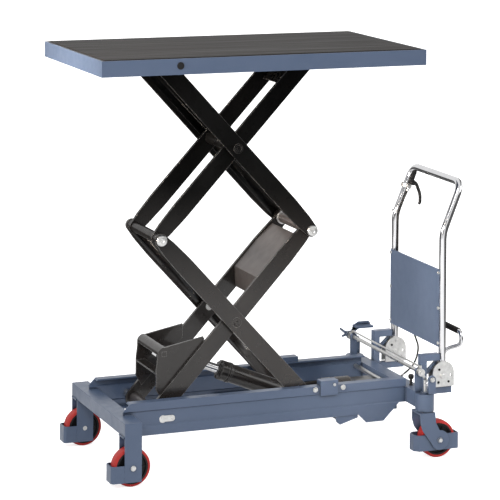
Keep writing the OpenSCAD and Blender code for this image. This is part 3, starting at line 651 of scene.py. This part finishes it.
def hydraulics():
    """Pressure hose with its end fittings, and the release valve's knob."""
    hose = rounded([(200, 52, 122), (194, 55, 152), (50, 46, 147)], (26,), 14)
    tube("pressure_hose", hose, 10, RUBBER, "base", "hydraulic_hose")
    fittings = Shape()
    fittings.hex_head((200, 52, 119.5), (0, 0, 1), 14, 7)
    fittings.lathe((52, 46, 147), (1, 0.06, 0.03), [(0, 0), (0, 6.2), (14, 6.2), (15, 5.4), (15, 0)], 32)
    fittings.piece("hose_fittings", ZINC, "base", soft=0.3)
    knob = Shape()
    stem = [(0, 0), (0, 5), (3, 5), (3, 3.5), (17, 3.5)]
    ball = [(18, 5.5), (20, 7.2), (24, 8), (28, 7.4), (30, 5.6), (30.6, 0)]
    knob.lathe((360, -140, 171.5), (0, 0, 1), stem + ball, 40)
    knob.piece("valve_knob_turned", PLASTIC, home("valve_knob"), "valve_knob", soft=0.4)


def gland():
    """Screw heads round the gland's face and a stepped collar behind them."""
    anchor, angle, start = (105, 0, 125), math.radians(21.711), 268
    local = Matrix.Translation(anchor) @ Matrix.Rotation(math.pi + angle, 4, "Y")
    body = home("cylinder_gland")
    collar = Shape(local)
    steps = [(0, 12.2), (0, 25.5), (1.2, 26.4), (2.4, 25.2), (3, 21), (3, 17), (7, 16.4), (8, 15.4),
             (8, 12.2)]
    collar.lathe((start, 0, 0), (1, 0, 0), steps, 64)
    collar.lathe((start - 30, 0, 0), (1, 0, 0), [(0, 25.1), (0, 27.4), (6, 27.4), (6, 25.1)], 64)
    collar.piece("gland_collar", BLACK, body, soft=0.3)
    screws = Shape(local)
    for i in range(6):
        turn = math.radians(60 * i + 20)
        screws.hex_head((start + 2.5, 21 * math.cos(turn), 21 * math.sin(turn)), (1, 0, 0), 5.5, 3)
    screws.piece("gland_screws", BLACK, body, soft=0.2)


def thrust_heads():
    """Thin square locking plates on the ends of the thrust pin, inside the arms' side clearance."""
    heads = Shape()
    square = [(-339, 292), (-325, 292), (-325, 306), (-339, 306)]
    for side in (-1, 1):
        heads.prism(square, side * (BRACKET_Y - 0.7), side * (BRACKET_Y - 0.2))
    heads.piece("thrust_pin_heads", BLACK, home("thrust_pin"), soft=0.6)


def hinge_hardware():
    """Screws, lock pins and pivot heads on both faces of the handle's hinge plates."""
    plate_face = 14.6
    pivot_x, pivot_z, lock_x, lock_z = 441, 196, 447, 225
    pivot_head = [(0, 0), (0, 7), (1.6, 7), (2.6, 5.6), (3.2, 3), (3.2, 0)]
    lock_head = [(0, 0), (0, 4.5), (1.4, 4.5), (2.4, 2.5), (2.6, 0)]
    bright, dark = Shape(), Shape()
    for side in (-1, 1):
        for face in (-1, 1):
            y, out = side * TUBE_Y + face * plate_face, (0, face, 0)
            bright.lathe((pivot_x, y, pivot_z), out, pivot_head, 32)
            bright.lathe((lock_x, y, lock_z), out, lock_head, 24)
            for x, z in ((432, 214), (460, 180)):
                dark.hex_head((x, y, z), out, 6, 2)
    bright.piece("hinge_pivot_heads", ZINC, "handle", soft=0.2)
    dark.piece("hinge_set_screws", PLASTIC, "handle", soft=0.2)


def panel_outline(x0, x1, z0, z1):
    return [(x0, z0), (x1, z0), (x1, z1), (x0, z1)]


def mat():
    """Rubber sheet on the deck with a lower border all round, coloured near black as a painted shadow line.
    """
    low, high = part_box("deck_mat")
    x0, y0, z0 = [c / MM for c in low]
    x1, y1, z1 = [c / MM for c in high]
    body = home("deck_mat")
    border, lift = 4.5, 1.5
    in_x0, in_x1, in_y0, in_y1 = x0 + border, x1 - border, y0 + border, y1 - border
    sheet = Shape().prism(panel_outline(in_x0, in_x1, z0, z1), in_y0, in_y1)
    sheet.piece("deck_mat_sheet", MAT, body, "deck_mat", soft=0.8)
    # painted shadow: the border sits lower and takes the near-black plastic, a dark line where the sheet's
    # edge would cast shade
    edge = Shape()
    edge.prism(panel_outline(x0, x1, z0, z1 - lift), y0, in_y0)
    edge.prism(panel_outline(x0, x1, z0, z1 - lift), in_y1, y1)
    edge.prism(panel_outline(x0, in_x0, z0, z1 - lift), in_y0, in_y1)
    edge.prism(panel_outline(in_x1, x1, z0, z1 - lift), in_y0, in_y1)
    edge.piece("deck_mat_shadow_border", PLASTIC, body, soft=0.3)


gland()
thrust_heads()
hinge_hardware()
mat()
pedal()
hydraulics()


# ---------- floor, light and camera ----------
def floor():
    """Pale floor: bright to the camera, plain and matt to the light that bounces off it."""
    bpy.ops.mesh.primitive_plane_add(size=80, location=(0, 0, 0))
    ground = bpy.context.object
    ground.name = "floor"
    s = Shader("pale_floor")
    tint = s.mix(s.span(s.noise(1.5, 2.0), 0.3, 0.7), rgb(0.93, 0.93, 0.93), rgb(0.95, 0.95, 0.95))
    paths = s.add("ShaderNodeLightPath")
    place = s.add("ShaderNodeSeparateXYZ", {0: s.object_space})
    beside = s.span(place.outputs["X"], 0.9, 1.5)
    behind = s.span(place.outputs["Y"], 0.6, 1.3)
    far = s.maths("MULTIPLY", s.maths("MAXIMUM", beside, behind), paths.outputs["Is Glossy Ray"])
    bounce = s.mix(paths.outputs["Is Diffuse Ray"], tint, rgb(0.50, 0.50, 0.51))
    s.finish(Base_Color=s.mix(far, bounce, rgb(0.05, 0.05, 0.05)), Roughness=0.9)
    glow = s.add("ShaderNodeEmission", {"Color": rgb(1, 1, 1), "Strength": 0.72}).outputs[0]
    seen = s.add("ShaderNodeAddShader", {0: s.bsdf.outputs[0], 1: glow}).outputs[0]
    eye = paths.outputs["Is Camera Ray"]
    lit = s.add("ShaderNodeMixShader", {0: eye, 1: s.bsdf.outputs[0], 2: seen}).outputs[0]
    clear = s.add("ShaderNodeBsdfTransparent").outputs[0]
    below = s.add("ShaderNodeNewGeometry").outputs["Backfacing"]
    surface = s.add("ShaderNodeMixShader", {0: below, 1: lit, 2: clear}).outputs[0]
    s.tree.links.new(surface, s.tree.nodes["Material Output"].inputs["Surface"])
    ground.data.materials.append(s.material)


def area_light(name, place, target, size, power, spread=180, colour=(1, 1, 1)):
    data = bpy.data.lights.new(name, "AREA")
    data.shape = "RECTANGLE"
    data.size, data.size_y = size
    data.energy = power
    data.spread = math.radians(spread)
    data.color = colour
    lamp = bpy.data.objects.new(name, data)
    bpy.context.collection.objects.link(lamp)
    lamp.location = place
    lamp.rotation_euler = (Vector(target) - Vector(place)).to_track_quat("-Z", "Y").to_euler()


def studio():
    """White surroundings; polished metal also sees two dark cards, left and right, and a darker horizon."""
    world = bpy.data.worlds.new("studio")
    world.use_nodes = True
    bpy.context.scene.world = world
    nodes, links = world.node_tree.nodes, world.node_tree.links
    sky = nodes["Background"]
    paths = nodes.new("ShaderNodeLightPath")
    direction = nodes.new("ShaderNodeTexCoord")
    split = nodes.new("ShaderNodeSeparateXYZ")
    links.new(direction.outputs["Generated"], split.inputs[0])
    cards = nodes.new("ShaderNodeMath")
    cards.operation = "ABSOLUTE"
    links.new(split.outputs["X"], cards.inputs[0])
    shade = nodes.new("ShaderNodeValToRGB")
    stops = ((0.0, 1.0), (0.50, 1.0), (0.60, 0.10), (0.76, 0.10), (0.86, 1.0))
    while len(shade.color_ramp.elements) < len(stops):
        shade.color_ramp.elements.new(0.5)
    for element, (place, level) in zip(shade.color_ramp.elements, stops):
        element.position = place
        element.color = (level, level, level, 1)
    links.new(cards.outputs[0], shade.inputs[0])
    mix = nodes.new("ShaderNodeMix")
    mix.data_type = "RGBA"
    mix.inputs[6].default_value = (1, 1, 1, 1)
    links.new(paths.outputs["Is Glossy Ray"], mix.inputs[0])
    links.new(shade.outputs[0], mix.inputs[7])
    links.new(mix.outputs[2], sky.inputs["Color"])
    level = nodes.new("ShaderNodeMapRange")
    level.inputs["To Min"].default_value = 0.85
    level.inputs["To Max"].default_value = 1.1
    links.new(paths.outputs["Is Camera Ray"], level.inputs["Value"])
    links.new(level.outputs[0], sky.inputs["Strength"])
    area_light("key", (-2.5, -2.8, 3.2), (0, 0, 0.6), (2.2, 2.2), 85)
    area_light("fill", (3.0, -2.0, 1.6), (0, 0, 0.5), (2.0, 2.0), 30)
    area_light("deck_end_light", (-2.1, -0.25, 1.2), (-0.56, 0, 1.07), (0.5, 0.5), 5.0, 34, (1.0, 0.86, 0.72))
    area_light("panel_light", (-1.6, -1.6, 1.2), (0.434, 0, 0.38), (0.2, 0.2), 1.3, 20, (1.0, 0.86, 0.72))


def camera():
    """Level camera with its horizon well above the picture, as a shifted lens gives."""
    yaw, roll = math.radians(21.69), math.radians(0.47)
    right = Vector((math.cos(yaw), -math.sin(yaw), 0))
    forward = Vector((math.sin(yaw), math.cos(yaw), 0))
    up = Vector((0, 0, 1))
    tilted_right = right * math.cos(roll) + up * math.sin(roll)
    tilted_up = up * math.cos(roll) - right * math.sin(roll)
    data = bpy.data.cameras.new("camera")
    data.sensor_width = 36
    data.lens = 170.43
    data.clip_end = 200
    view = bpy.data.objects.new("camera", data)
    bpy.context.collection.objects.link(view)
    turn = Matrix((tilted_right, tilted_up, -forward)).transposed()
    stand = Vector((-2.43415, -5.94624, 1.79356))
    view.matrix_world = Matrix.Translation(stand) @ turn.to_4x4()
    bpy.context.scene.camera = view
    shift_only_here(view, data, stand, -0.9268)


def shift_only_here(view, data, stand, shift):
    """Lens shift that holds at the main viewpoint and is zero when the camera stands anywhere else."""
    marker = bpy.data.objects.new("main_viewpoint", None)
    marker.location = stand
    bpy.context.collection.objects.link(marker)
    curve = data.driver_add("shift_y")
    curve.driver.type = "SUM"
    distance = curve.driver.variables.new()
    distance.type = "LOC_DIFF"
    distance.targets[0].id = view
    distance.targets[1].id = marker
    for extra in list(curve.modifiers):
        curve.modifiers.remove(extra)
    for metres_away, value in ((0.0, shift), (0.5, 0.0)):
        curve.keyframe_points.insert(metres_away, value).interpolation = "CONSTANT"


floor()
studio()
camera()
bpy.context.scene.view_settings.view_transform = "Standard"
